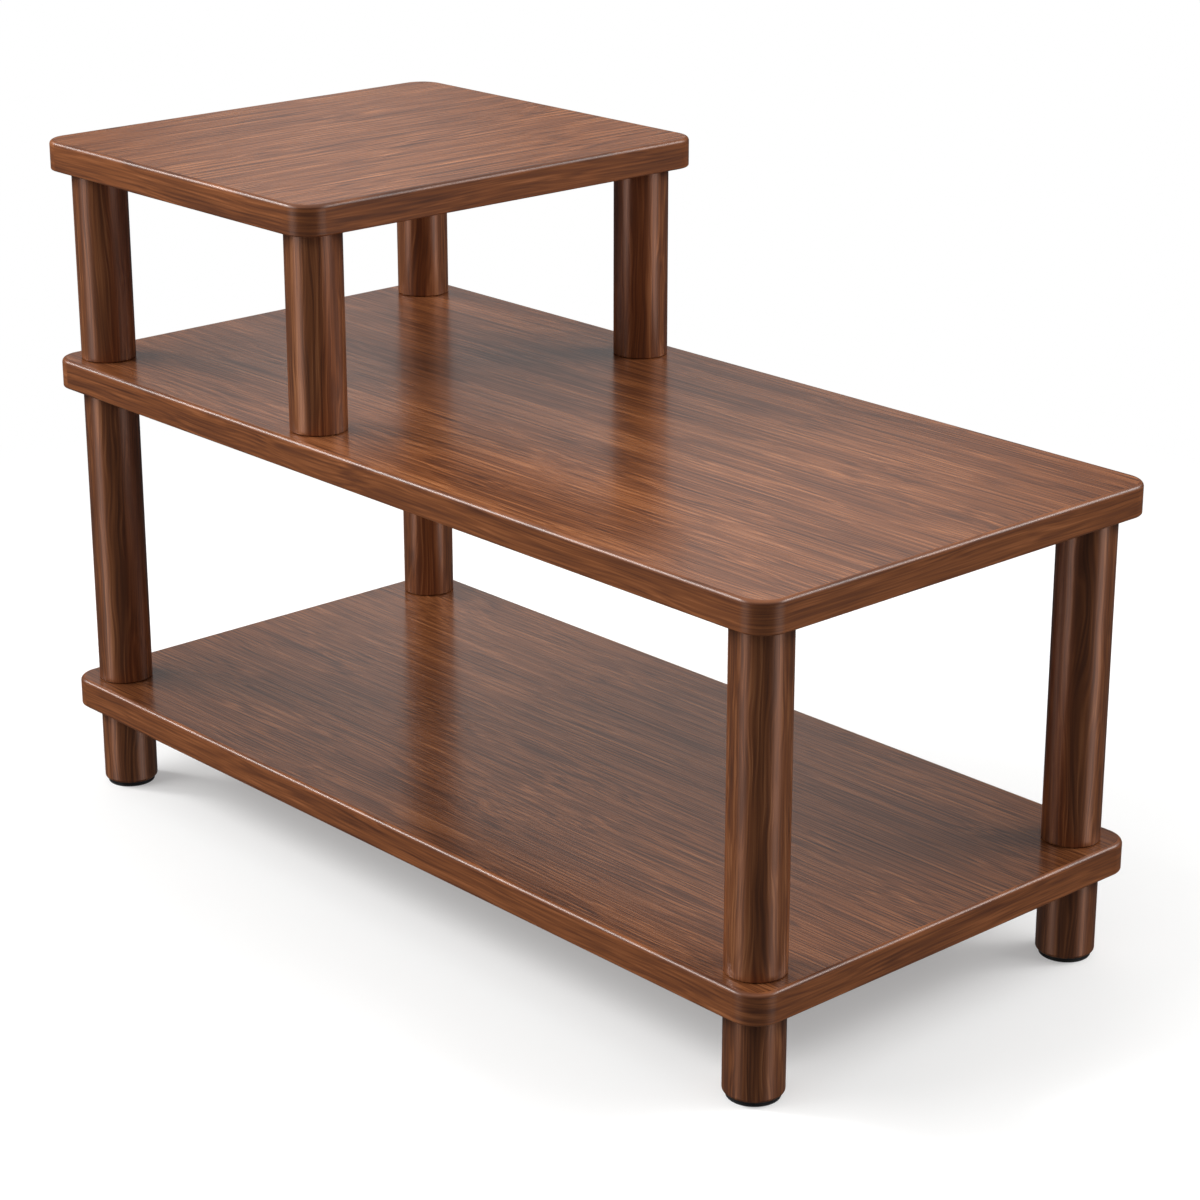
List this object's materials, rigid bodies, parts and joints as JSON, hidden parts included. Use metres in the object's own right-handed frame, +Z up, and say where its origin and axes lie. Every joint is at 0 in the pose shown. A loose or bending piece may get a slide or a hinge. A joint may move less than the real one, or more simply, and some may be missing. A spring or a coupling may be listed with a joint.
{
  "type": "tiered side table",
  "caption": "Tiered walnut side table: long lower boards and a short raised board at one end, joined by round posts with rounded feet on black pads.",
  "frame": {"origin": "on the floor, under the middle of the two long boards' outline", "axes": "+X along the table, away from the raised tier; +Y to the back; +Z up"},
  "size_m": [0.93, 0.45, 0.625],
  "materials": {
    "walnut_board": "dark reddish-brown walnut under satin lacquer",
    "walnut_post": "dark walnut, turned, upright grain, satin lacquer",
    "black_rubber": "matt black moulded rubber",
    "brass": "plain machined brass",
    "zinc_steel": "bright zinc-plated steel"
  },
  "bodies": {
    "root": {"bottom_shelf": "walnut_board", "bottom_shelf_studs": "zinc_steel", "foot_pad_back_left": "black_rubber", "foot_pad_back_right": "black_rubber", "foot_pad_front_left": "black_rubber", "foot_pad_front_right": "black_rubber", "foot_pad_screws": "zinc_steel", "inner_post_bolts": "zinc_steel", "inner_post_washers": "zinc_steel", "leg_back_left": "walnut_post", "leg_back_right": "walnut_post", "leg_front_left": "walnut_post", "leg_front_right": "walnut_post", "leg_inserts": "brass", "lower_post_back_left": "walnut_post", "lower_post_back_right": "walnut_post", "lower_post_bottom_inserts": "brass", "lower_post_front_left": "walnut_post", "lower_post_front_right": "walnut_post", "lower_post_top_inserts": "brass", "middle_shelf": "walnut_board", "middle_shelf_blind_studs": "zinc_steel", "middle_shelf_inserts": "brass", "middle_shelf_through_studs": "zinc_steel", "top_shelf": "walnut_board", "top_shelf_inserts": "brass", "top_shelf_studs": "zinc_steel", "upper_post_back_inner": "walnut_post", "upper_post_back_left": "walnut_post", "upper_post_bottom_inserts": "brass", "upper_post_front_inner": "walnut_post", "upper_post_front_left": "walnut_post", "upper_post_top_inserts": "brass"}
  },
  "joints": []
}
